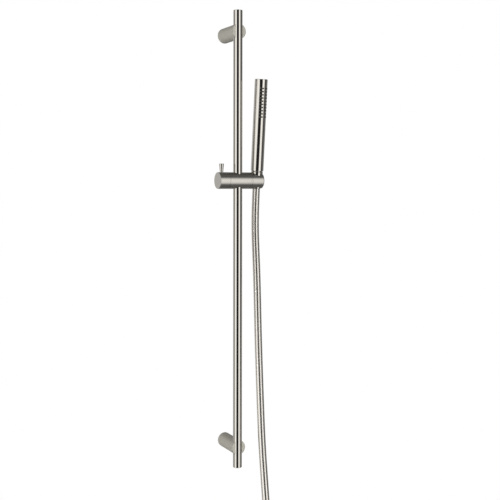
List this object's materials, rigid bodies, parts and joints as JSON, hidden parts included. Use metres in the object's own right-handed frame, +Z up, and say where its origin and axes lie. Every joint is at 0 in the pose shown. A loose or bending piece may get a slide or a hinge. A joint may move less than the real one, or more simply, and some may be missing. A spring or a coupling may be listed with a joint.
{
  "type": "slide-rail hand shower",
  "caption": "Round wall slide rail with two posts, a locking slider with tilting holder, a stick handset with rubber nozzles and a smooth hose.",
  "frame": {"origin": "midway between the two wall screw holes, on the wall plane", "axes": "+Z up along the rail, +Y into the wall (the set stands at y < 0), +X to the right seen from the room"},
  "size_m": [0.111, 0.1425, 1.2687],
  "materials": {
    "brushed_nickel": "fine lengthwise brushed nickel, satin with sharp streaks",
    "brushed_nickel_turned": "nickel brushed round the axis, satin",
    "satin_nickel": "bead-blasted satin nickel",
    "brass_core": "machined brass",
    "zinc": "zinc casting, dull",
    "stainless_screw": "plain stainless steel",
    "bush_plastic": "black acetal",
    "liner_plastic": "dark grey plastic",
    "limiter_plastic": "white plastic",
    "inner_plastic": "white plastic tube",
    "seal_rubber": "black rubber",
    "nozzle_rubber": "dark grey silicone",
    "hose_skin": "smooth metallic grey PVC, satin",
    "tie_strap": "black hook-and-loop strap"
  },
  "bodies": {
    "wall_rail": {"rail_tube": "brushed_nickel", "upper_rail_plug": "brushed_nickel", "lower_rail_plug": "brushed_nickel", "upper_rail_insert": "brass_core", "lower_rail_insert": "brass_core", "upper_post": "satin_nickel", "lower_post": "satin_nickel", "upper_wall_boss": "zinc", "lower_wall_boss": "zinc", "rail_screws": "stainless_screw", "grub_screws": "stainless_screw"},
    "sleeve": {"rail_bush": "bush_plastic"},
    "slider": {"slider_body": "brushed_nickel_turned", "spacer_ring": "brushed_nickel_turned", "pivot_screw": "stainless_screw"},
    "knob": {"lock_knob": "brushed_nickel_turned", "lever_pin": "satin_nickel", "clamp_stud": "stainless_screw"},
    "shoe": {"clamp_shoe": "bush_plastic"},
    "holder": {"handset_holder": "brushed_nickel_turned", "holder_liner": "liner_plastic", "friction_washer": "bush_plastic"},
    "hose_head": {"hose_ferrule": "stainless_screw", "ferrule_washer": "seal_rubber"},
    "handset": {"cone_nut": "brushed_nickel", "handset_tail": "brushed_nickel", "flow_limiter": "limiter_plastic", "tail_o_ring": "seal_rubber", "handset_shell": "brushed_nickel", "nozzle_strip": "nozzle_rubber", "water_tube": "inner_plastic", "handset_cap": "brushed_nickel", "cap_o_ring": "seal_rubber"},
    "hose": {"hose_tube": "hose_skin", "hose_hank": "hose_skin", "hose_tie": "tie_strap", "supply_ferrule": "stainless_screw", "supply_washer": "seal_rubber"},
    "wall_nut": {"supply_nut": "brushed_nickel_turned"}
  },
  "joints": [
    {"name": "rail_slide", "type": "slide", "parent": "wall_rail", "child": "sleeve", "axis": [0, 0, 1], "range_m": [-0.507, 0.259]},
    {"name": "slider_swivel", "type": "hinge", "parent": "sleeve", "child": "slider", "pos_m": [0, -0.062, 0.124], "axis": [0, 0, 1], "range_deg": [-45, 45]},
    {"name": "knob_turn", "type": "hinge", "parent": "slider", "child": "knob", "pos_m": [0, -0.062, 0.124], "axis": [1, 0, 0], "range_deg": [0, 90]},
    {"name": "shoe_travel", "type": "slide", "parent": "slider", "child": "shoe", "axis": [1, 0, 0], "range_m": [-0.0003125, 0]},
    {"name": "holder_tilt", "type": "hinge", "parent": "slider", "child": "holder", "pos_m": [0, -0.062, 0.124], "axis": [1, 0, 0], "range_deg": [-10, 45]},
    {"name": "handset_lift", "type": "slide", "parent": "holder", "child": "hose_head", "axis": [0, -0.095, 0.9955], "range_m": [0, 0.05]},
    {"name": "handset_twist", "type": "hinge", "parent": "hose_head", "child": "handset", "pos_m": [0.0421, -0.062, 0.124], "axis": [0, -0.095, 0.9955], "continuous": true},
    {"name": "hose_hang", "type": "hinge", "parent": "hose_head", "child": "hose", "pos_m": [0.0421, -0.06057, 0.10907], "axis": [1, 0, 0], "range_deg": [-45, 10], "deforming": ["hose_tube"]},
    {"name": "supply_nut_spin", "type": "hinge", "parent": "hose", "child": "wall_nut", "pos_m": [0.0421, -0.131, -0.765], "axis": [0, 0, 1], "continuous": true}
  ],
  "couplings": [
    {"joint": "shoe_travel", "follows": "knob_turn", "m_per_rad": -0.00019894},
    {"joint": "hose_hang", "follows": "holder_tilt", "ratio": -1}
  ]
}
